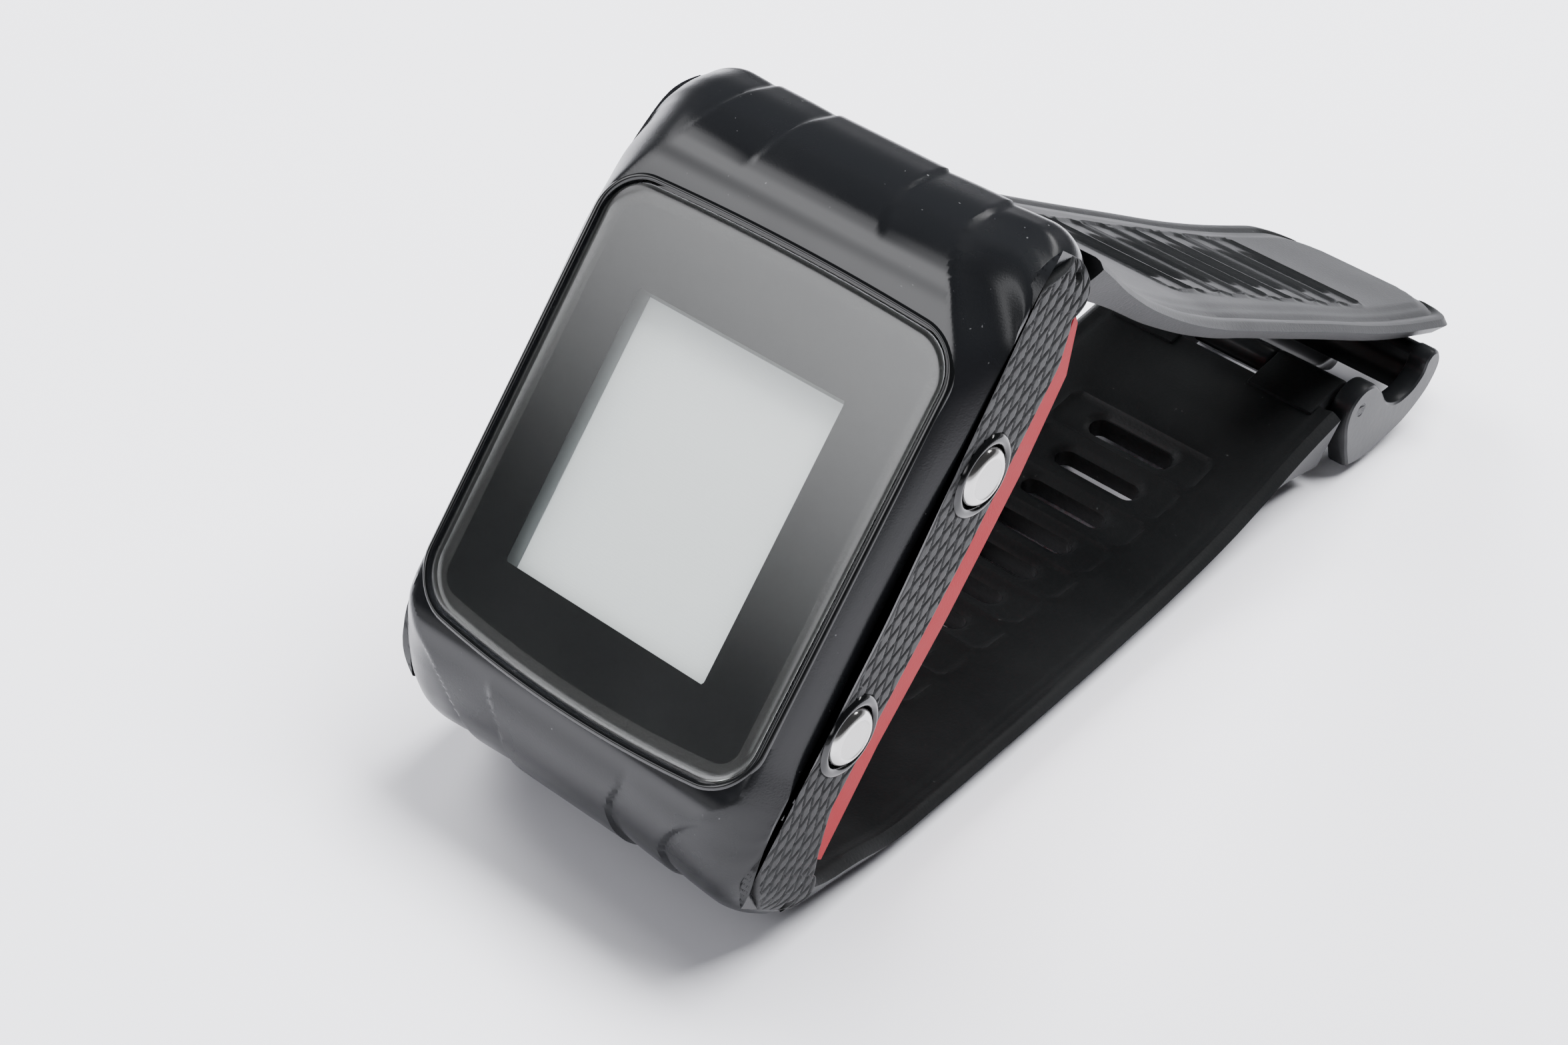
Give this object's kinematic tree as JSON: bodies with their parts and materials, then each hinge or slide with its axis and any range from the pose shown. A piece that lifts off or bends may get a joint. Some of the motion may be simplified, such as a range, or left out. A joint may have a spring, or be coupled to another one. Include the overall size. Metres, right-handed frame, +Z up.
{
  "type": "golf distance watch",
  "caption": "Wrist-worn golf distance watch standing on its unfastened slotted rubber strap, with a square screen, round side buttons and a tang buckle.",
  "frame": {"origin": "centre of the bounding box at floor level, under the standing watch", "axes": "+Z up, +Y from the screen towards the buckle, +X across the watch towards its right-hand buttons"},
  "size_m": [0.0414, 0.125, 0.0567],
  "materials": {
    "case_plastic": "piano black and satin moulding",
    "red_plastic": "fine matte",
    "grip_rubber": "scale pattern, matte",
    "lens_glass": "polished",
    "display": "reflective grey",
    "inner_plastic": "moulded",
    "flex_film": "film",
    "circuit_board": "solder mask",
    "steel": "turned",
    "tinned_steel": "pressed",
    "chip": "moulded",
    "antenna_ceramic": "fired",
    "copper_coil": "lacquered wire",
    "battery_foil": "foil pouch",
    "black_seal": "soft",
    "gold_contact": "plated",
    "button_metal": "polished rim, frosted face",
    "strap_rubber": "matte moulded",
    "buckle_metal": "black coated"
  },
  "bodies": {
    "lower_strap": {"lower_strap": "strap_rubber"},
    "case": {"front_case": "case_plastic", "back_shell": "red_plastic", "side_grip_right": "grip_rubber", "side_grip_left": "grip_rubber", "front_glass": "lens_glass", "glass_adhesive": "black_seal", "display_panel": "display", "display_frame": "inner_plastic", "display_flex": "flex_film", "main_board": "circuit_board", "board_screws": "steel", "rf_shield": "tinned_steel", "processor": "chip", "gps_antenna": "antenna_ceramic", "tag_reader_coil": "copper_coil", "battery": "battery_foil", "battery_foam": "black_seal", "vibration_motor": "tinned_steel", "buzzer": "tinned_steel", "charging_contacts": "gold_contact", "back_gasket": "black_seal", "back_screws": "steel", "button_collars": "case_plastic", "button_seals": "black_seal", "tactile_switches": "tinned_steel", "upper_spring_bar": "steel", "lower_spring_bar": "steel"},
    "upper_strap": {"upper_strap": "strap_rubber"},
    "buckle_frame": {"buckle_frame": "buckle_metal", "buckle_pin": "steel"},
    "buckle_tongue": {"buckle_tongue": "buckle_metal"},
    "right_upper_button": {"right_upper_button": "button_metal", "right_upper_clip": "steel"},
    "right_lower_button": {"right_lower_button": "button_metal", "right_lower_clip": "steel"},
    "left_upper_button": {"left_upper_button": "button_metal", "left_upper_clip": "steel"},
    "left_middle_button": {"left_middle_button": "button_metal", "left_middle_clip": "steel"},
    "left_lower_button": {"left_lower_button": "button_metal", "left_lower_clip": "steel"}
  },
  "joints": [
    {"name": "case_hinge", "type": "hinge", "parent": "lower_strap", "child": "case", "pos_m": [0, -0.05486, 0.00506], "axis": [1, 0, 0], "range_deg": [0, 45]},
    {"name": "upper_strap_hinge", "type": "hinge", "parent": "case", "child": "upper_strap", "pos_m": [0, -0.02837, 0.05329], "axis": [1, 0, 0], "range_deg": [0, 45]},
    {"name": "buckle_hinge", "type": "hinge", "parent": "lower_strap", "child": "buckle_frame", "pos_m": [0, 0.03859, 0.0085], "axis": [1, 0, 0], "range_deg": [-25, 0]},
    {"name": "tongue_hinge", "type": "hinge", "parent": "buckle_frame", "child": "buckle_tongue", "pos_m": [0, 0.03859, 0.0085], "axis": [1, 0, 0], "range_deg": [-40, 0]},
    {"name": "right_upper_press", "type": "slide", "parent": "case", "child": "right_upper_button", "axis": [-1, 0, 0], "range_m": [0, 0.0005], "stiffness_N_per_m": 3000, "springref_m": -0.0003},
    {"name": "right_lower_press", "type": "slide", "parent": "case", "child": "right_lower_button", "axis": [-1, 0, 0], "range_m": [0, 0.0005], "stiffness_N_per_m": 3000, "springref_m": -0.0003},
    {"name": "left_upper_press", "type": "slide", "parent": "case", "child": "left_upper_button", "axis": [1, 0, 0], "range_m": [0, 0.0005], "stiffness_N_per_m": 3000, "springref_m": -0.0003},
    {"name": "left_middle_press", "type": "slide", "parent": "case", "child": "left_middle_button", "axis": [1, 0, 0], "range_m": [0, 0.0005], "stiffness_N_per_m": 3000, "springref_m": -0.0003},
    {"name": "left_lower_press", "type": "slide", "parent": "case", "child": "left_lower_button", "axis": [1, 0, 0], "range_m": [0, 0.0005], "stiffness_N_per_m": 3000, "springref_m": -0.0003}
  ]
}
